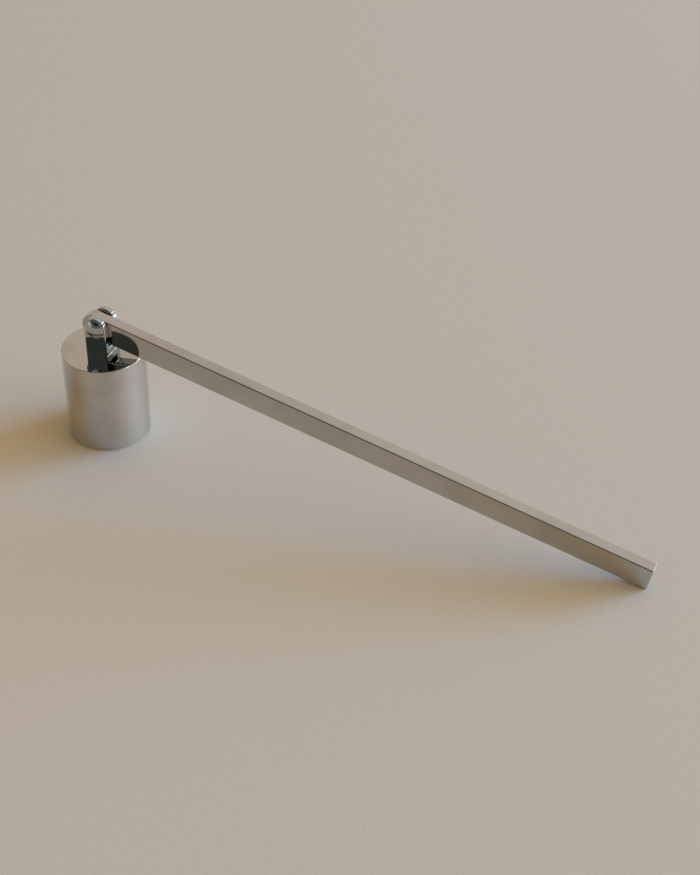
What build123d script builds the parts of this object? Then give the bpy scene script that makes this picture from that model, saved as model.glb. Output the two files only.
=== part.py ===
from build123d import *
import os
from math import asin, atan2, cos, degrees, hypot, radians, sin

os.makedirs("parts", exist_ok=True)

# Candle snuffer with a hinged handle, in millimetres.
# The origin is the middle of the cup's open rim, +Z is up, and +X runs from the cup along the handle.
# At rest the cup stands on its rim and the far end of the handle lies on the same surface.

# Cup: a turned cylinder, open below, with a flat crown
cup_diameter = 26.0
cup_height = 30.5
cup_wall = 1.0
crown_thickness = 1.6
crown_edge_radius = 0.2
crown_inner_cone = 4.2
rim_edge_chamfer = 0.3

# Clevis: a yoke with two ears that stands on the crown
ear_width = 7.3
ear_thickness = 1.8
web_thickness = 2.6
pivot_rise = 9.5
clevis_edge_radius = 0.25
foot_edge_radius = 0.2
slot_edge_chamfer = 0.2

# Handle: a polished flat bar, full round at the pivot end and square at the far end
bar_height = 7.9
bar_thickness = 3.9
bar_reach = 182.9
round_end_reach = 5.45
pivot_above_middle = 1.2
bar_edge_radius = 0.5
far_end_edge_radius = 0.4
side_play = 0.15

# Pivot rivet: a pin pressed into a sleeve, each with a domed head
rivet_head_diameter = 6.5
rivet_dome_height = 1.3
rivet_head_edge = 0.35
sleeve_diameter = 3.0
sleeve_setback = 0.3
pin_diameter = 2.0
pin_length = 5.6
pin_point_chamfer = 0.25
pin_bore_extra = 0.5
press_allowance = 0.01
pivot_play = 0.05

# Fixing screw: an M3 button head with a hexagon socket, over a spring washer and a plain washer
screw_diameter = 3.0
screw_length = 5.0
screw_point_chamfer = 0.3
screw_head_diameter = 5.7
screw_head_height = 1.65
screw_head_edge = 0.35
socket_across_flats = 2.0
socket_depth = 1.05
thread_play = 0.05
screw_hole_diameter = 3.4
plain_washer_bore = 3.2
plain_washer_diameter = 7.0
plain_washer_thickness = 0.5
spring_washer_bore = 3.1
spring_washer_diameter = 6.2
spring_washer_thickness = 0.8
spring_washer_split = 0.6
split_lean_degrees = 25.0

# All cuts run past the solid by this much
overrun = 1.0

# Places that follow from the sizes
cup_radius = cup_diameter / 2
bore_radius = cup_radius - cup_wall
ceiling_height = cup_height - crown_thickness
slot_half = bar_thickness / 2 + side_play
clevis_half = slot_half + ear_thickness
pivot_height = cup_height + pivot_rise
pivot = Vector(0, 0, pivot_height)
washer_seat = ceiling_height - plain_washer_thickness
head_seat = washer_seat - spring_washer_thickness


# Handle's slope at rest: the rounded lower corner of its far end touches the surface at z = 0
corner_along = bar_reach - far_end_edge_radius
corner_below = bar_height / 2 + pivot_above_middle - far_end_edge_radius
corner_drop = pivot_height - far_end_edge_radius
corner_distance = hypot(corner_along, corner_below)
rest_slope = degrees(asin(corner_drop / corner_distance) - atan2(corner_below, corner_along))
along_handle = Vector(cos(radians(rest_slope)), 0, -sin(radians(rest_slope)))


# Cup: half of the section, revolved about its axis
with BuildPart() as cup:
    with BuildSketch(Plane.XZ) as cup_section:
        with BuildLine():
            Polyline(
                (0, cup_height),
                (cup_radius, cup_height),
                (cup_radius, 0),
                (bore_radius, 0),
                (bore_radius, ceiling_height),
                (0, ceiling_height),
                close=True,
            )
        make_face()
        crown_corner = cup_section.vertices().sort_by_distance((cup_radius, cup_height))[0]
        fillet(crown_corner, radius=crown_edge_radius)
        inner_corner = cup_section.vertices().sort_by_distance((bore_radius, ceiling_height))[0]
        chamfer(inner_corner, length=crown_inner_cone)
        rim_corner = cup_section.vertices().sort_by_distance((cup_radius, 0))[0]
        chamfer(rim_corner, length=rim_edge_chamfer)
    revolve(axis=Axis.Z)
    with BuildSketch(Plane.XY.offset(ceiling_height)):
        Circle(screw_hole_diameter / 2)
    extrude(amount=crown_thickness, both=True, mode=Mode.SUBTRACT)
cup.part.label = "cup"
export_step(cup.part, "parts/cup.step")


# Clevis: one ear from its front view, mirrored, with the web and its rounded ends between them
ear_view = Plane(origin=(0, 0, cup_height), x_dir=(1, 0, 0), z_dir=(0, -1, 0))
with BuildPart() as clevis:
    with BuildSketch(ear_view.offset(slot_half)):
        with Locations((0, pivot_rise / 2)):
            Rectangle(ear_width, pivot_rise)
        with Locations((0, pivot_rise)):
            Circle(ear_width / 2)
    extrude(amount=ear_thickness)
    ear_foot_edges = clevis.faces().sort_by(Axis.Z)[0].edges()
    outer_edges = clevis.faces().sort_by(Axis.Y)[0].edges() - ear_foot_edges
    slot_edges = clevis.faces().sort_by(Axis.Y)[-1].edges() - ear_foot_edges
    fillet(outer_edges, radius=clevis_edge_radius)
    chamfer(slot_edges, length=slot_edge_chamfer)
    mirror(about=Plane.XZ)
    with BuildSketch(ear_view):
        with Locations((0, web_thickness / 2)):
            web_outline = Rectangle(ear_width, web_thickness)
        fillet(web_outline.vertices().group_by(Axis.Y)[-1], radius=clevis_edge_radius)
    extrude(amount=slot_half + slot_edge_chamfer, both=True)
    fillet(clevis.faces().sort_by(Axis.Z)[0].edges(), radius=foot_edge_radius)
    with BuildSketch(ear_view.offset(-clevis_half - overrun)):
        with Locations((0, pivot_rise)):
            Circle(sleeve_diameter / 2 + press_allowance)
    extrude(amount=2 * (clevis_half + overrun), mode=Mode.SUBTRACT)
    with BuildSketch(Plane.XY.offset(cup_height)):
        Circle(screw_diameter / 2 + thread_play)
    extrude(amount=web_thickness, both=True, mode=Mode.SUBTRACT)
clevis.part.label = "clevis"
export_step(clevis.part, "parts/clevis.step")


# Handle: its side view, drawn from the pivot along the sloping bar
side_view = Plane(origin=pivot, x_dir=along_handle, z_dir=(0, -1, 0))
straight_length = bar_reach + round_end_reach - bar_height / 2
straight_middle = bar_reach - straight_length / 2
with BuildPart() as handle:
    with BuildSketch(side_view):
        with Locations((straight_middle, -pivot_above_middle)):
            Rectangle(straight_length, bar_height)
        with Locations((bar_height / 2 - round_end_reach, -pivot_above_middle)):
            Circle(bar_height / 2)
    extrude(amount=bar_thickness / 2, both=True)
    end_edges = handle.faces().sort_by(Axis(pivot, along_handle))[-1].edges()
    fillet(handle.edges() - end_edges, radius=bar_edge_radius)
    far_face = handle.faces().sort_by(Axis(pivot, along_handle))[-1]
    fillet(far_face.edges(), radius=far_end_edge_radius)
    with BuildSketch(side_view.offset(-bar_thickness)):
        Circle(sleeve_diameter / 2 + pivot_play)
    extrude(amount=2 * bar_thickness, mode=Mode.SUBTRACT)
handle.part.label = "handle"
export_step(handle.part, "parts/handle.step")


# Rivet halves: radial sections about the pivot's axis, each drawn outwards to its own head
far_section = Plane(origin=pivot, x_dir=(0, 1, 0), z_dir=(1, 0, 0))
near_section = Plane(origin=pivot, x_dir=(0, -1, 0), z_dir=(-1, 0, 0))
pivot_axis = Axis(pivot, (0, 1, 0))
head_radius = rivet_head_diameter / 2
head_shoulder = clevis_half + rivet_head_edge
head_top = head_shoulder + rivet_dome_height
sleeve_front = -clevis_half + sleeve_setback
pin_tip = pin_length - clevis_half

# Sleeve: the head on the far ear, with a barrel through both ears that the handle turns on
with BuildPart() as pivot_sleeve:
    with BuildSketch(far_section):
        with BuildLine():
            Polyline(
                (head_top, 0),
                (sleeve_front, 0),
                (sleeve_front, sleeve_diameter / 2),
                (clevis_half, sleeve_diameter / 2),
                (clevis_half, head_radius),
                (head_shoulder, head_radius),
            )
            TangentArc((head_top, 0), (head_shoulder, head_radius), tangent=(0, 1))
        make_face()
    revolve(axis=pivot_axis)
    with BuildSketch(far_section):
        with BuildLine():
            Polyline(
                (sleeve_front - overrun, 0),
                (sleeve_front - overrun, pin_diameter / 2 + press_allowance),
                (pin_tip + pin_bore_extra, pin_diameter / 2 + press_allowance),
                (pin_tip + pin_bore_extra, 0),
                close=True,
            )
        make_face()
    revolve(axis=pivot_axis, mode=Mode.SUBTRACT)
pivot_sleeve.part.label = "pivot_sleeve"
export_step(pivot_sleeve.part, "parts/pivot_sleeve.step")

# Pin: the head on the near ear, pressed into the sleeve
with BuildPart() as pivot_pin:
    with BuildSketch(near_section):
        with BuildLine():
            Polyline(
                (head_top, 0),
                (-pin_tip, 0),
                (-pin_tip, pin_diameter / 2 - pin_point_chamfer),
                (pin_point_chamfer - pin_tip, pin_diameter / 2),
                (clevis_half, pin_diameter / 2),
                (clevis_half, head_radius),
                (head_shoulder, head_radius),
            )
            TangentArc((head_top, 0), (head_shoulder, head_radius), tangent=(0, 1))
        make_face()
    revolve(axis=pivot_axis)
pivot_pin.part.label = "pivot_pin"
export_step(pivot_pin.part, "parts/pivot_pin.step")


# Fixing screw: button head inside the cup, shank up into the clevis web
head_bottom = head_seat - screw_head_height
screw_tip = head_seat + screw_length
with BuildPart() as clevis_screw:
    with BuildSketch(Plane.XZ):
        with BuildLine():
            Polyline(
                (0, head_bottom),
                (0, screw_tip),
                (screw_diameter / 2 - screw_point_chamfer, screw_tip),
                (screw_diameter / 2, screw_tip - screw_point_chamfer),
                (screw_diameter / 2, head_seat),
                (screw_head_diameter / 2, head_seat),
                (screw_head_diameter / 2, head_seat - screw_head_edge),
            )
            TangentArc(
                (0, head_bottom), (screw_head_diameter / 2, head_seat - screw_head_edge), tangent=(1, 0)
            )
        make_face()
    revolve(axis=Axis.Z)
    with BuildSketch(Plane.XY.offset(head_bottom - overrun)):
        RegularPolygon(socket_across_flats / 2, side_count=6, major_radius=False)
    extrude(amount=overrun + socket_depth, mode=Mode.SUBTRACT)
clevis_screw.part.label = "clevis_screw"
export_step(clevis_screw.part, "parts/clevis_screw.step")

# Plain washer: spreads the screw's load on the thin crown
with BuildPart() as plain_washer:
    with BuildSketch(Plane.XY.offset(washer_seat)):
        Circle(plain_washer_diameter / 2)
        Circle(plain_washer_bore / 2, mode=Mode.SUBTRACT)
    extrude(amount=plain_washer_thickness)
plain_washer.part.label = "plain_washer"
export_step(plain_washer.part, "parts/plain_washer.step")

# Spring washer: drawn flat, as it is once tightened, with its slanting split
split_plane = Plane(
    origin=(0, 0, (head_seat + washer_seat) / 2),
    x_dir=(1, 0, 0),
    z_dir=(0, sin(radians(split_lean_degrees)), cos(radians(split_lean_degrees))),
)
with BuildPart() as spring_washer:
    with BuildSketch(Plane.XY.offset(head_seat)):
        Circle(spring_washer_diameter / 2)
        Circle(spring_washer_bore / 2, mode=Mode.SUBTRACT)
    extrude(amount=spring_washer_thickness)
    with BuildSketch(split_plane):
        with Locations((-spring_washer_diameter / 2, 0)):
            Rectangle(spring_washer_diameter, spring_washer_split)
    extrude(amount=spring_washer_thickness, both=True, mode=Mode.SUBTRACT)
spring_washer.part.label = "spring_washer"
export_step(spring_washer.part, "parts/spring_washer.step")

print("handle slope at rest, degrees:", round(rest_slope, 3))
print("pivot height:", pivot_height)
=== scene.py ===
from math import cos, radians, sin, sqrt, tau

import bpy
from mathutils import Matrix, Vector


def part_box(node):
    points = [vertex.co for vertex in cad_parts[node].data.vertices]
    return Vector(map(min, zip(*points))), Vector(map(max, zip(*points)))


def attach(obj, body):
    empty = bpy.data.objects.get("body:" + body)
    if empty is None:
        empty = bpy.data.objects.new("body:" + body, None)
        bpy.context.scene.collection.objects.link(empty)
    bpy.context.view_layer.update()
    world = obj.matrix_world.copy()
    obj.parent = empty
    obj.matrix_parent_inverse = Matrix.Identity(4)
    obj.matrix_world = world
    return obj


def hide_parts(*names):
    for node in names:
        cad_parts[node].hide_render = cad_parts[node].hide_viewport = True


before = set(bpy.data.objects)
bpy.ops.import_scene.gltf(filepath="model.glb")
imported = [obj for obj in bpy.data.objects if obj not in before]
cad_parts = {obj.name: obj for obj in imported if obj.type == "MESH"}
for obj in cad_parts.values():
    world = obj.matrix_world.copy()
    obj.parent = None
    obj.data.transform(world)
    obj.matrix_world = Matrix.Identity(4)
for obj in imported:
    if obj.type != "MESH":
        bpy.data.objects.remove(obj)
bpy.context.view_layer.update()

# Cup: a bell turned from stainless steel bar, open below, with a thin wall and a flat crown.
# The crown is mirror polished. The wall is only buffed, so the lathe's fine rings smear what it
# shows up and down but not sideways, and fingers have left faint smudges that dull it in places.
steel_light = "#CDCAC6"
steel_dull = "#C2BEB9"
ring_spacing = 0.0006  # real ones are nearer 0.1 mm, drawn coarser so that they show
ring_depth = 0.0000008
ring_smear = 0.75
ring_smear_turn = 0.25  # a quarter turn: the smear crosses the rings
smudge_size = 0.011
clean_until = 0.42  # of the smudge noise
smudged_from = 0.68
crown_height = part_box("cup")[1][2]
crown_edge = 0.0002
crown_roughness = 0.025
wall_smooth_roughness = 0.13
wall_smudged_roughness = 0.18

# Sockets that share a name with another one of their node, by their number.
first, second = 0, 1
mix_share, colour_a, colour_b, mixed_colour = 0, 6, 7, 2
number_a, number_b, mixed_number = 2, 3, 0


def linear(code):
    """Turns an sRGB hex colour to the linear values that a shader takes."""
    parts = [int(code[i:i + 2], 16) / 255 for i in (1, 3, 5)]
    return [p / 12.92 if p <= 0.04045 else ((p + 0.055) / 1.055) ** 2.4 for p in parts] + [1.0]


def add_node(tree, kind, settings=None, links=None):
    """Adds a node, sets its properties or its inputs' values, and links its inputs to outputs."""
    node = tree.nodes.new(kind)
    for key, value in (settings or {}).items():
        if isinstance(key, str) and hasattr(node, key):
            setattr(node, key, value)
        else:
            node.inputs[key].default_value = value
    for key, output in (links or {}).items():
        tree.links.new(output, node.inputs[key])
    return node


def new_material(name):
    """Starts a material with an empty tree and the piece's own coordinates."""
    material = bpy.data.materials.new(name)
    material.use_nodes = True
    material.node_tree.nodes.clear()
    place = add_node(material.node_tree, "ShaderNodeTexCoord")
    return material, material.node_tree, place.outputs["Object"]


def dress(name, material):
    """Gives one of the carried-over solids its material."""
    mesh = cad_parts[name].data
    mesh.materials.clear()
    mesh.materials.append(material)


turned_steel, tree, place = new_material("turned_stainless_steel")
flat_place = add_node(
    tree, "ShaderNodeVectorMath", {"operation": "MULTIPLY", second: (1, 1, 0)}, {first: place}
)
from_axis = add_node(
    tree, "ShaderNodeVectorMath", {"operation": "LENGTH"}, {first: flat_place.outputs["Vector"]}
)
parts = add_node(tree, "ShaderNodeSeparateXYZ", {}, {"Vector": place})
along_section = add_node(
    tree,
    "ShaderNodeMath",
    {"operation": "ADD"},
    {first: from_axis.outputs["Value"], second: parts.outputs["Z"]},
)
rings = add_node(
    tree,
    "ShaderNodeTexNoise",
    {"noise_dimensions": "1D", "Scale": 1 / ring_spacing, "Detail": 2.0},
    {"W": along_section.outputs["Value"]},
)
smudges = add_node(
    tree, "ShaderNodeTexNoise", {"Scale": 1 / smudge_size, "Detail": 4.0}, {"Vector": place}
)
dullness = add_node(
    tree,
    "ShaderNodeMapRange",
    {"From Min": clean_until, "From Max": smudged_from},
    {"Value": smudges.outputs["Fac"]},
)
colour = add_node(
    tree,
    "ShaderNodeMix",
    {"data_type": "RGBA", colour_a: linear(steel_light), colour_b: linear(steel_dull)},
    {mix_share: dullness.outputs["Result"]},
)
wall_roughness = add_node(
    tree,
    "ShaderNodeMapRange",
    {"To Min": wall_smooth_roughness, "To Max": wall_smudged_roughness},
    {"Value": dullness.outputs["Result"]},
)
on_crown = add_node(
    tree,
    "ShaderNodeMapRange",
    {"From Min": crown_height - crown_edge, "From Max": crown_height},
    {"Value": parts.outputs["Z"]},
)
roughness = add_node(
    tree,
    "ShaderNodeMix",
    {"data_type": "FLOAT", number_b: crown_roughness},
    {mix_share: on_crown.outputs["Result"], number_a: wall_roughness.outputs["Result"]},
)
ring_bump = add_node(
    tree,
    "ShaderNodeBump",
    {"Strength": 1.0, "Distance": ring_depth},
    {"Height": rings.outputs["Fac"]},
)
round_the_axis = add_node(
    tree, "ShaderNodeTangent", {"direction_type": "RADIAL", "axis": "Z"}
)
shader = add_node(
    tree,
    "ShaderNodeBsdfPrincipled",
    {"Metallic": 1.0, "Anisotropic": ring_smear, "Anisotropic Rotation": ring_smear_turn},
    {
        "Base Color": colour.outputs[mixed_colour],
        "Roughness": roughness.outputs[mixed_number],
        "Normal": ring_bump.outputs["Normal"],
        "Tangent": round_the_axis.outputs["Tangent"],
    },
)
add_node(tree, "ShaderNodeOutputMaterial", {}, {"Surface": shader.outputs["BSDF"]})
dress("cup", turned_steel)

# Washers: a stamped flat washer against the thin crown and a split spring washer under the screw's
# head. Both are mild steel, barrel plated with zinc, which leaves a soft silver-grey skin with a
# fine grain, a little darker where the pieces rubbed on each other in the barrel.
zinc_light = "#BFC1C0"
zinc_rubbed = "#9DA1A3"
plating_grain = 0.0003
rubbed_patch = 0.0014
unrubbed_until = 0.38  # of the patch noise
rubbed_from = 0.66
grain_depth = 0.000002
zinc_bright_roughness = 0.26
zinc_rubbed_roughness = 0.44

zinc_plate, tree, place = new_material("barrel_plated_zinc")
patches = add_node(
    tree, "ShaderNodeTexNoise", {"Scale": 1 / rubbed_patch, "Detail": 3.0}, {"Vector": place}
)
grain = add_node(
    tree, "ShaderNodeTexNoise", {"Scale": 1 / plating_grain, "Detail": 2.0}, {"Vector": place}
)
rubbed = add_node(
    tree,
    "ShaderNodeMapRange",
    {"From Min": unrubbed_until, "From Max": rubbed_from},
    {"Value": patches.outputs["Fac"]},
)
colour = add_node(
    tree,
    "ShaderNodeMix",
    {"data_type": "RGBA", colour_a: linear(zinc_light), colour_b: linear(zinc_rubbed)},
    {mix_share: rubbed.outputs["Result"]},
)
roughness = add_node(
    tree,
    "ShaderNodeMapRange",
    {"To Min": zinc_bright_roughness, "To Max": zinc_rubbed_roughness},
    {"Value": rubbed.outputs["Result"]},
)
grain_bump = add_node(
    tree,
    "ShaderNodeBump",
    {"Strength": 1.0, "Distance": grain_depth},
    {"Height": grain.outputs["Fac"]},
)
shader = add_node(
    tree,
    "ShaderNodeBsdfPrincipled",
    {"Metallic": 1.0},
    {
        "Base Color": colour.outputs[mixed_colour],
        "Roughness": roughness.outputs["Result"],
        "Normal": grain_bump.outputs["Normal"],
    },
)
add_node(tree, "ShaderNodeOutputMaterial", {}, {"Surface": shader.outputs["BSDF"]})
dress("plain_washer", zinc_plate)
dress("spring_washer", zinc_plate)

# Fixing screw: an M3 button head screw, cold headed from steel wire and zinc plated with the
# washers. It goes up through the crown into the clevis and holds the two together, and its socket
# takes a 2 mm key from inside the cup. Its hidden shank is only a plain core, without the thread.
head_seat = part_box("spring_washer")[0][2]
screw_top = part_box("clevis_screw")[1][2]
head_radius = 0.00285
head_height = 0.00165
head_edge = 0.00035
underside_relief = 0.00005
dome_steps = 8
socket_sides = 6
socket_flats = 0.002
socket_depth = 0.00092
socket_land = 0.00014
core_radius = 0.00124
tip_chamfer = 0.0003
round_steps = 48
smooth_below = radians(35)
merge_gap = 0.000002
tolerance = 0.000001
any_size = 0.001  # of a plane that is merged to one corner at once


def draw_outline(name, points):
    """Draws a chain of edges through the points: a plane merged to one corner, then extruded."""
    bpy.ops.object.select_all(action="DESELECT")
    bpy.ops.mesh.primitive_plane_add(size=any_size, location=(0, 0, 0))
    piece = bpy.context.object
    piece.name = name
    bpy.ops.object.mode_set(mode="EDIT")
    bpy.ops.mesh.merge(type="CENTER")
    bpy.ops.transform.translate(value=points[0])
    for previous, point in zip(points, points[1:]):
        step = Vector(point) - Vector(previous)
        bpy.ops.mesh.extrude_vertices_move(TRANSFORM_OT_translate={"value": step})
    return piece


def select_where(piece, test):
    """Selects in edit mode only the corners that pass a test of their place."""
    bpy.ops.mesh.select_mode(type="VERT")
    bpy.ops.mesh.select_all(action="DESELECT")
    bpy.ops.object.mode_set(mode="OBJECT")
    for corner in piece.data.vertices:
        corner.select = test(corner.co)
    bpy.ops.object.mode_set(mode="EDIT")


# Head and core are spun from one outline: from the socket's land over the dome to the tip.
dome_rise = head_height - head_edge
dome_radius = (head_radius ** 2 + dome_rise ** 2) / (2 * dome_rise)
head_bottom = head_seat - head_height
socket_corner = socket_flats / sqrt(3)
land_radius = socket_corner + socket_land
dome_points = []
for step in range(dome_steps + 1):
    reach = land_radius + (head_radius - land_radius) * step / dome_steps
    rise = dome_radius - sqrt(dome_radius ** 2 - reach ** 2)
    dome_points.append((reach, 0, head_bottom + rise))
land_height = dome_points[0][2]
shank_points = [
    (head_radius, 0, head_seat - underside_relief),
    (head_radius - underside_relief, 0, head_seat),
    (core_radius, 0, head_seat),
    (core_radius, 0, screw_top - tip_chamfer),
    (core_radius - tip_chamfer, 0, screw_top),
    (0, 0, screw_top),
]
screw = draw_outline("button_head_screw", dome_points + shank_points)
bpy.ops.mesh.select_all(action="SELECT")
bpy.ops.mesh.spin(steps=round_steps, angle=tau, center=(0, 0, 0), axis=(0, 0, 1))
bpy.ops.mesh.select_all(action="SELECT")
bpy.ops.mesh.remove_doubles(threshold=merge_gap)

# The socket is a hexagon bridged to the land, pushed up into the head and closed.
bpy.ops.mesh.select_all(action="DESELECT")
bpy.ops.mesh.primitive_circle_add(
    vertices=socket_sides, radius=socket_corner, location=(0, 0, land_height)
)
bpy.ops.mesh.subdivide(number_cuts=round_steps // socket_sides - 1)
select_where(screw, lambda place: place.z < land_height + tolerance)
bpy.ops.mesh.select_mode(type="EDGE")
bpy.ops.mesh.bridge_edge_loops()
select_where(
    screw,
    lambda place: place.z < land_height + tolerance
    and place.xy.length < socket_corner + tolerance,
)
bpy.ops.mesh.select_mode(type="EDGE")
bpy.ops.mesh.extrude_edges_move(TRANSFORM_OT_translate={"value": (0, 0, socket_depth)})
bpy.ops.mesh.edge_face_add()
bpy.ops.mesh.select_all(action="SELECT")
bpy.ops.mesh.normals_make_consistent(inside=False)
bpy.ops.object.mode_set(mode="OBJECT")

bpy.ops.object.shade_smooth_by_angle(angle=smooth_below)
screw.data.materials.append(zinc_plate)
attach(screw, "snuffer_cup")
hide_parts("clevis_screw")

# Clevis: a stainless block milled to a yoke with two round-topped ears, then polished by hand on a
# mop, which rounds its edges and leaves a very slight unevenness in the mirror.
clevis_light = "#C8C7C4"
clevis_dull = "#BDBBB6"
mop_ripple = 0.006
mop_ripple_height = 0.000012
clevis_smudge = 0.005
clevis_clean_roughness = 0.03
clevis_smudged_roughness = 0.08

mopped_steel, tree, place = new_material("mop_polished_stainless_steel")
smudges = add_node(
    tree, "ShaderNodeTexNoise", {"Scale": 1 / clevis_smudge, "Detail": 4.0}, {"Vector": place}
)
ripple = add_node(
    tree, "ShaderNodeTexNoise", {"Scale": 1 / mop_ripple, "Detail": 0.0}, {"Vector": place}
)
dullness = add_node(
    tree,
    "ShaderNodeMapRange",
    {"From Min": clean_until, "From Max": smudged_from},
    {"Value": smudges.outputs["Fac"]},
)
colour = add_node(
    tree,
    "ShaderNodeMix",
    {"data_type": "RGBA", colour_a: linear(clevis_light), colour_b: linear(clevis_dull)},
    {mix_share: dullness.outputs["Result"]},
)
roughness = add_node(
    tree,
    "ShaderNodeMapRange",
    {"To Min": clevis_clean_roughness, "To Max": clevis_smudged_roughness},
    {"Value": dullness.outputs["Result"]},
)
ripple_bump = add_node(
    tree,
    "ShaderNodeBump",
    {"Strength": 1.0, "Distance": mop_ripple_height},
    {"Height": ripple.outputs["Fac"]},
)
shader = add_node(
    tree,
    "ShaderNodeBsdfPrincipled",
    {"Metallic": 1.0},
    {
        "Base Color": colour.outputs[mixed_colour],
        "Roughness": roughness.outputs["Result"],
        "Normal": ripple_bump.outputs["Normal"],
    },
)
add_node(tree, "ShaderNodeOutputMaterial", {}, {"Surface": shader.outputs["BSDF"]})
dress("clevis", mopped_steel)

# Handle: a flat bar of stainless steel, sawn square at the far end and rounded at the pivot. It was
# ground and buffed along its length, so hairlines run with the bar under the mirror, and its long
# faces have a slow ripple that makes reflected edges waver.
bar_slope = radians(11.037)
bar_light = "#C9C6C1"
bar_dull = "#BFBBB4"
hairline_length = 0.03
hairline_spacing = 0.00035
hairline_depth = 0.00000025
bar_ripple_length = 0.022
bar_ripple_height = 0.00003
bar_smudge = 0.016
bar_clean_roughness = 0.04
bar_smudged_roughness = 0.1

buffed_bar, tree, place = new_material("buffed_stainless_bar")
along_bar = add_node(
    tree, "ShaderNodeMapping", {"Rotation": (0, -bar_slope, 0)}, {"Vector": place}
)
hairline_scale = (1 / hairline_length, 1 / hairline_spacing, 1 / hairline_spacing)
stretched = add_node(
    tree,
    "ShaderNodeVectorMath",
    {"operation": "MULTIPLY", second: hairline_scale},
    {first: along_bar.outputs["Vector"]},
)
hairlines = add_node(
    tree,
    "ShaderNodeTexNoise",
    {"Scale": 1.0, "Detail": 2.0},
    {"Vector": stretched.outputs["Vector"]},
)
ripple = add_node(
    tree,
    "ShaderNodeTexNoise",
    {"Scale": 1 / bar_ripple_length, "Detail": 0.0},
    {"Vector": along_bar.outputs["Vector"]},
)
smudges = add_node(
    tree,
    "ShaderNodeTexNoise",
    {"Scale": 1 / bar_smudge, "Detail": 5.0},
    {"Vector": along_bar.outputs["Vector"]},
)
dullness = add_node(
    tree,
    "ShaderNodeMapRange",
    {"From Min": clean_until, "From Max": smudged_from},
    {"Value": smudges.outputs["Fac"]},
)
colour = add_node(
    tree,
    "ShaderNodeMix",
    {"data_type": "RGBA", colour_a: linear(bar_light), colour_b: linear(bar_dull)},
    {mix_share: dullness.outputs["Result"]},
)
roughness = add_node(
    tree,
    "ShaderNodeMapRange",
    {"To Min": bar_clean_roughness, "To Max": bar_smudged_roughness},
    {"Value": dullness.outputs["Result"]},
)
ripple_bump = add_node(
    tree,
    "ShaderNodeBump",
    {"Strength": 1.0, "Distance": bar_ripple_height},
    {"Height": ripple.outputs["Fac"]},
)
hairline_bump = add_node(
    tree,
    "ShaderNodeBump",
    {"Strength": 1.0, "Distance": hairline_depth},
    {"Height": hairlines.outputs["Fac"], "Normal": ripple_bump.outputs["Normal"]},
)
shader = add_node(
    tree,
    "ShaderNodeBsdfPrincipled",
    {"Metallic": 1.0},
    {
        "Base Color": colour.outputs[mixed_colour],
        "Roughness": roughness.outputs["Result"],
        "Normal": hairline_bump.outputs["Normal"],
    },
)
add_node(tree, "ShaderNodeOutputMaterial", {}, {"Surface": shader.outputs["BSDF"]})
dress("handle", buffed_bar)

# Rivet: a turned pin pressed into a turned sleeve, one from each side, each with a domed head that
# lies on an ear of the clevis. Both are stainless steel, and the polishing stone went round the
# heads, which leaves rings about the pivot.
rivet_light = "#CBCAC8"
rivet_dull = "#C0BEBA"
pivot_height = 0.04
rivet_ring_spacing = 0.0003
rivet_ring_depth = 0.0000004
rivet_clean_roughness = 0.04
rivet_dull_roughness = 0.1

turned_rivet, tree, place = new_material("turned_rivet_steel")
to_pivot = add_node(
    tree,
    "ShaderNodeVectorMath",
    {"operation": "SUBTRACT", second: (0, 0, pivot_height)},
    {first: place},
)
across = add_node(
    tree,
    "ShaderNodeVectorMath",
    {"operation": "MULTIPLY", second: (1, 0, 1)},
    {first: to_pivot.outputs["Vector"]},
)
from_pivot = add_node(
    tree, "ShaderNodeVectorMath", {"operation": "LENGTH"}, {first: across.outputs["Vector"]}
)
rings = add_node(
    tree,
    "ShaderNodeTexNoise",
    {"noise_dimensions": "1D", "Scale": 1 / rivet_ring_spacing, "Detail": 2.0},
    {"W": from_pivot.outputs["Value"]},
)
colour = add_node(
    tree,
    "ShaderNodeMix",
    {"data_type": "RGBA", colour_a: linear(rivet_light), colour_b: linear(rivet_dull)},
    {mix_share: rings.outputs["Fac"]},
)
roughness = add_node(
    tree,
    "ShaderNodeMapRange",
    {"To Min": rivet_clean_roughness, "To Max": rivet_dull_roughness},
    {"Value": rings.outputs["Fac"]},
)
ring_bump = add_node(
    tree,
    "ShaderNodeBump",
    {"Strength": 1.0, "Distance": rivet_ring_depth},
    {"Height": rings.outputs["Fac"]},
)
shader = add_node(
    tree,
    "ShaderNodeBsdfPrincipled",
    {"Metallic": 1.0},
    {
        "Base Color": colour.outputs[mixed_colour],
        "Roughness": roughness.outputs["Result"],
        "Normal": ring_bump.outputs["Normal"],
    },
)
add_node(tree, "ShaderNodeOutputMaterial", {}, {"Surface": shader.outputs["BSDF"]})
dress("pivot_sleeve", turned_rivet)
dress("pivot_pin", turned_rivet)

# Floor: a plain pale sheet of paper on which the snuffer stands. Its fine grain keeps it from
# looking like flat paint. Its soft sheen shows in the metal only, so that it stays plain from
# every side.
floor_size = 5.0
floor_light = "#B8B4AD"
floor_dark = "#A7A29C"
floor_roughness = 0.5
floor_specular = 1.0
paper_grain = 0.0008  # real grain is finer, drawn coarser so that it shows
shader_a, shader_b = 1, 2

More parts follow.
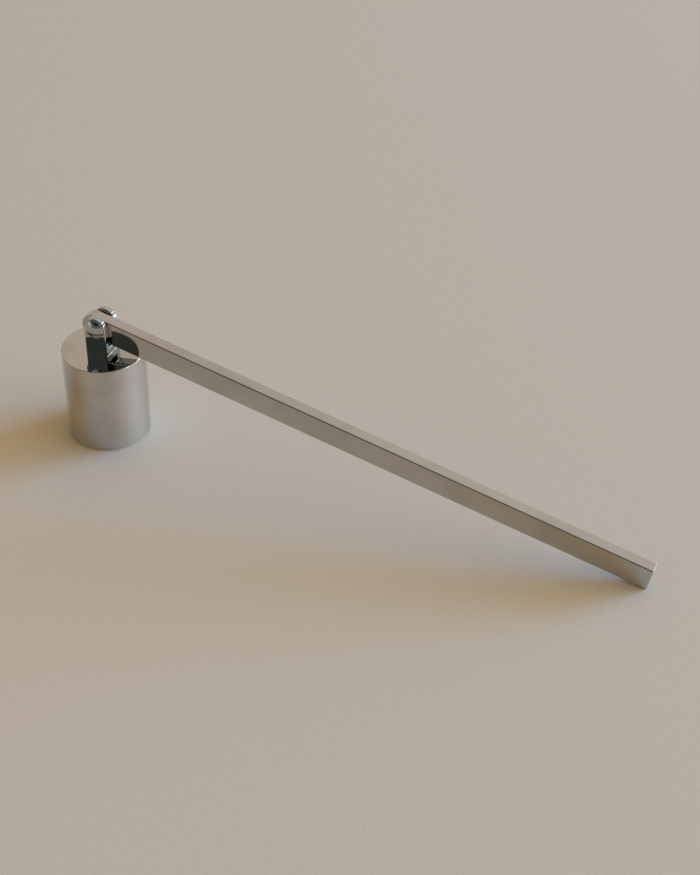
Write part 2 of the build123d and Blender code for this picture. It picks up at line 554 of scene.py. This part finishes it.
bpy.ops.object.select_all(action="DESELECT")
bpy.ops.mesh.primitive_plane_add(size=floor_size, location=(0, 0, 0))
floor = bpy.context.object
floor.name = "floor"
pale_sheet, tree, place = new_material("pale_sheet")
grain = add_node(
    tree, "ShaderNodeTexNoise", {"Scale": 1 / paper_grain, "Detail": 3.0}, {"Vector": place}
)
colour = add_node(
    tree,
    "ShaderNodeMix",
    {"data_type": "RGBA", colour_a: linear(floor_light), colour_b: linear(floor_dark)},
    {mix_share: grain.outputs["Fac"]},
)
with_sheen = add_node(
    tree,
    "ShaderNodeBsdfPrincipled",
    {"Roughness": floor_roughness, "Specular IOR Level": floor_specular},
    {"Base Color": colour.outputs[mixed_colour]},
)
matt = add_node(tree, "ShaderNodeBsdfDiffuse", {}, {"Color": colour.outputs[mixed_colour]})
rays = add_node(tree, "ShaderNodeLightPath")
surface = add_node(
    tree,
    "ShaderNodeMixShader",
    {},
    {
        mix_share: rays.outputs["Is Camera Ray"],
        shader_a: with_sheen.outputs["BSDF"],
        shader_b: matt.outputs["BSDF"],
    },
)
add_node(tree, "ShaderNodeOutputMaterial", {}, {"Surface": surface.outputs["Shader"]})
floor.data.materials.append(pale_sheet)

# Room: pale walls behind the snuffer, warmer on the left, and a dim room with a pale ceiling in
# front of it, which the polished faces show. It also gives the warm soft light that fills the
# shadows, which is stronger from behind on the right than from the front on the left.
backdrop = "#B4AFA6"
glow_weak = (0.64, 0.465, 0.255, 1)
glow_strong = (1.08, 0.795, 0.455, 1)
glow_from = (0.6, 0.8, 0)
wall_left = (0.595, 0.51, 0.415, 1)
wall_middle = (0.68, 0.645, 0.605, 1)
wall_right = (0.5, 0.55, 0.58, 1)
front_horizon = (0.17, 0.175, 0.17, 1)
low_front = (0.1, 0.105, 0.1, 1)
dim_front = (0.06, 0.075, 0.071, 1)
black_front = (0.008, 0.009, 0.009, 1)
ceiling = (0.4, 0.36, 0.31, 1)
pale_corner = (0.62, 0.61, 0.59, 1)
to_corner = (-0.77, -0.636, 0.05)

# Where one part of the room gives way to the next, in parts of a direction of length 1.
left_until, middle_from = -0.35, 0.2
middle_until, right_from = 0.2, 0.45
front_until, back_from = 0.0, 0.35
dim_until, black_from = -0.3, -0.1
horizon_until, low_from = 0.06, 0.22
low_until, high_from = 0.3, 0.42
high_until, ceiling_from = 0.82, 0.9
corner_edge, corner_core = 0.91, 0.98
weak_until, strong_from = -0.5, 0.5

world = bpy.data.worlds.new("room")
bpy.context.scene.world = world
world.use_nodes = True
tree = world.node_tree
tree.nodes.clear()
place = add_node(tree, "ShaderNodeTexCoord")
parts = add_node(tree, "ShaderNodeSeparateXYZ", {}, {"Vector": place.outputs["Generated"]})
sideways = add_node(
    tree,
    "ShaderNodeMapRange",
    {"From Min": left_until, "From Max": middle_from},
    {"Value": parts.outputs["X"]},
)
left_walls = add_node(
    tree,
    "ShaderNodeMix",
    {"data_type": "RGBA", colour_a: wall_left, colour_b: wall_middle},
    {mix_share: sideways.outputs["Result"]},
)
to_right = add_node(
    tree,
    "ShaderNodeMapRange",
    {"From Min": middle_until, "From Max": right_from},
    {"Value": parts.outputs["X"]},
)
walls = add_node(
    tree,
    "ShaderNodeMix",
    {"data_type": "RGBA", colour_b: wall_right},
    {mix_share: to_right.outputs["Result"], colour_a: left_walls.outputs[mixed_colour]},
)
blacker = add_node(
    tree,
    "ShaderNodeMapRange",
    {"From Min": dim_until, "From Max": black_from},
    {"Value": parts.outputs["X"]},
)
high = add_node(
    tree,
    "ShaderNodeMix",
    {"data_type": "RGBA", colour_a: dim_front, colour_b: black_front},
    {mix_share: blacker.outputs["Result"]},
)
near_horizon = add_node(
    tree,
    "ShaderNodeMapRange",
    {"From Min": low_from, "From Max": horizon_until},
    {"Value": parts.outputs["Z"]},
)
low = add_node(
    tree,
    "ShaderNodeMix",
    {"data_type": "RGBA", colour_a: low_front, colour_b: front_horizon},
    {mix_share: near_horizon.outputs["Result"]},
)
upwards = add_node(
    tree,
    "ShaderNodeMapRange",
    {"From Min": low_until, "From Max": high_from},
    {"Value": parts.outputs["Z"]},
)
front = add_node(
    tree,
    "ShaderNodeMix",
    {"data_type": "RGBA"},
    {
        mix_share: upwards.outputs["Result"],
        colour_a: low.outputs[mixed_colour],
        colour_b: high.outputs[mixed_colour],
    },
)
at_ceiling = add_node(
    tree,
    "ShaderNodeMapRange",
    {"From Min": high_until, "From Max": ceiling_from},
    {"Value": parts.outputs["Z"]},
)
front_and_ceiling = add_node(
    tree,
    "ShaderNodeMix",
    {"data_type": "RGBA", colour_b: ceiling},
    {mix_share: at_ceiling.outputs["Result"], colour_a: front.outputs[mixed_colour]},
)
near_corner = add_node(
    tree,
    "ShaderNodeVectorMath",
    {"operation": "DOT_PRODUCT", second: to_corner},
    {first: place.outputs["Generated"]},
)
in_corner = add_node(
    tree,
    "ShaderNodeMapRange",
    {"From Min": corner_edge, "From Max": corner_core},
    {"Value": near_corner.outputs["Value"]},
)
front_and_corner = add_node(
    tree,
    "ShaderNodeMix",
    {"data_type": "RGBA", colour_b: pale_corner},
    {mix_share: in_corner.outputs["Result"], colour_a: front_and_ceiling.outputs[mixed_colour]},
)
backwards = add_node(
    tree,
    "ShaderNodeMapRange",
    {"interpolation_type": "SMOOTHSTEP", "From Min": front_until, "From Max": back_from},
    {"Value": parts.outputs["Y"]},
)
room = add_node(
    tree,
    "ShaderNodeMix",
    {"data_type": "RGBA"},
    {
        mix_share: backwards.outputs["Result"],
        colour_a: front_and_corner.outputs[mixed_colour],
        colour_b: walls.outputs[mixed_colour],
    },
)
towards_glow = add_node(
    tree,
    "ShaderNodeVectorMath",
    {"operation": "DOT_PRODUCT", second: glow_from},
    {first: place.outputs["Generated"]},
)
glow_share = add_node(
    tree,
    "ShaderNodeMapRange",
    {"From Min": weak_until, "From Max": strong_from},
    {"Value": towards_glow.outputs["Value"]},
)
room_glow = add_node(
    tree,
    "ShaderNodeMix",
    {"data_type": "RGBA", colour_a: glow_weak, colour_b: glow_strong},
    {mix_share: glow_share.outputs["Result"]},
)

# The metal shows the room, the camera the plain backdrop, and all else takes light from the glow.
rays = add_node(tree, "ShaderNodeLightPath")
in_metal = add_node(
    tree,
    "ShaderNodeMix",
    {"data_type": "RGBA"},
    {
        mix_share: rays.outputs["Is Glossy Ray"],
        colour_a: room_glow.outputs[mixed_colour],
        colour_b: room.outputs[mixed_colour],
    },
)
shown = add_node(
    tree,
    "ShaderNodeMix",
    {"data_type": "RGBA", colour_b: linear(backdrop)},
    {mix_share: rays.outputs["Is Camera Ray"], colour_a: in_metal.outputs[mixed_colour]},
)
background = add_node(
    tree, "ShaderNodeBackground", {"Strength": 1.0}, {"Color": shown.outputs[mixed_colour]}
)
add_node(tree, "ShaderNodeOutputWorld", {}, {"Surface": background.outputs["Background"]})

# Window light: cool daylight from low on the right behind the snuffer, which gives the long soft
# shadow. The blue sky lights everything and shows in no face. The wide window lights the floor and
# the cup only, and its sheen lies on the floor, where only the metal shows it.
lit_place = Vector((0.06, 0, 0))
lamp_distance = 4.0
sky_azimuth = 46
sky_elevation = 11
sky_width = 2.14
window_height = 1.41
sky_blue = (0.144, 0.48, 1.0)
daylight = (0.67, 0.88, 1.0)
sheen_white = (1.0, 0.92, 0.98)


def add_lamp(name, azimuth, elevation, width, height, power, colour, seen_in_metal=True):
    """Adds a rectangular lamp that faces the snuffer from a direction given in degrees."""
    lamp = bpy.data.lights.new(name, "AREA")
    lamp.shape = "RECTANGLE"
    lamp.size = width
    lamp.size_y = height
    lamp.energy = power
    lamp.color = colour
    piece = bpy.data.objects.new(name, lamp)
    bpy.context.scene.collection.objects.link(piece)
    turn, rise = radians(azimuth), radians(elevation)
    away = Vector((cos(turn) * cos(rise), sin(turn) * cos(rise), sin(rise)))
    piece.location = lit_place + away * lamp_distance
    piece.rotation_euler = away.to_track_quat("Z", "Y").to_euler()
    piece.visible_glossy = seen_in_metal
    return piece


def light_only(lamp, name, pieces):
    """Makes a lamp light only the pieces given, by a collection of that name."""
    lit = bpy.data.collections.new(name)
    for piece in pieces:
        lit.objects.link(piece)
    lamp.light_linking.receiver_collection = lit


add_lamp(
    "sky", sky_azimuth, sky_elevation, sky_width, window_height,
    power=315, colour=sky_blue, seen_in_metal=False,
)
window = add_lamp(
    "window_light", azimuth=28, elevation=10, width=5.6, height=window_height,
    power=256, colour=daylight,
)
light_only(window, "dull_surfaces", [floor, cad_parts["cup"]])
sheen = add_lamp(
    "window_sheen", azimuth=4, elevation=10, width=7.0, height=window_height,
    power=220, colour=sheen_white,
)
sheen.visible_diffuse = False
light_only(sheen, "floor_only", [floor])

# Returned light: the daylight that the polished metal throws back on the floor and round the foot
# of the cup. It works only after a first bounce on the floor, so no face shows its outline.
returned_tint = (0.6, 0.78, 0.95)
after_one_bounce = 0.5

returned = add_lamp(
    "returned_window_light", sky_azimuth, sky_elevation, sky_width, window_height,
    power=225, colour=returned_tint,
)
polished_names = ("cup", "clevis", "handle", "pivot_sleeve", "pivot_pin")
light_only(returned, "polished_pieces", [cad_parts[name] for name in polished_names])
returned.data.use_nodes = True
tree = returned.data.node_tree
tree.nodes.clear()
rays = add_node(tree, "ShaderNodeLightPath")
after_floor = add_node(
    tree,
    "ShaderNodeMath",
    {"operation": "GREATER_THAN", second: after_one_bounce},
    {first: rays.outputs["Diffuse Depth"]},
)
glow = add_node(tree, "ShaderNodeEmission", {}, {"Strength": after_floor.outputs["Value"]})
add_node(tree, "ShaderNodeOutputLight", {}, {"Surface": glow.outputs["Emission"]})

# Panes: four bright pieces of window glass, which the polished edges show as short lines and
# dots. They are too small to light anything else much.
pane_blue = (0.82, 0.92, 1.0)

add_lamp(
    "main_pane", azimuth=43, elevation=3.5, width=0.6, height=0.42, power=3.4, colour=pane_blue
)
add_lamp(
    "high_pane", azimuth=50, elevation=27, width=0.6, height=0.4, power=1.3, colour=pane_blue
)
add_lamp(
    "small_pane", azimuth=13, elevation=6, width=0.5, height=0.5, power=6, colour=daylight
)
add_lamp(
    "far_pane", azimuth=-9, elevation=6, width=0.5, height=0.5, power=6, colour=daylight
)

# Camera: at the photograph's angle, with its focal length and place fitted to the cup's rim,
# crown and walls and to the long edges of the bar.
camera_place = (0.26272, -0.39645, 0.37194)
turned_left = radians(24.279)
tilted_down = radians(38.732)
rolled = radians(-0.3265)
focal_length = 77.161
sensor_width = 36
nearest_shown = 0.01

lens = bpy.data.cameras.new("camera")
lens.lens = focal_length
lens.sensor_width = sensor_width
lens.clip_start = nearest_shown
camera = bpy.data.objects.new("camera", lens)
bpy.context.scene.collection.objects.link(camera)
camera.location = camera_place
ahead = Vector(
    (-sin(turned_left) * cos(tilted_down), cos(turned_left) * cos(tilted_down), -sin(tilted_down))
)
level_right = Vector((cos(turned_left), sin(turned_left), 0))
level_down = ahead.cross(level_right)
right = cos(rolled) * level_right + sin(rolled) * level_down
down = cos(rolled) * level_down - sin(rolled) * level_right
camera.rotation_euler = Matrix((right, -down, -ahead)).transposed().to_euler()
bpy.context.scene.camera = camera
bpy.context.scene.view_settings.view_transform = "Standard"
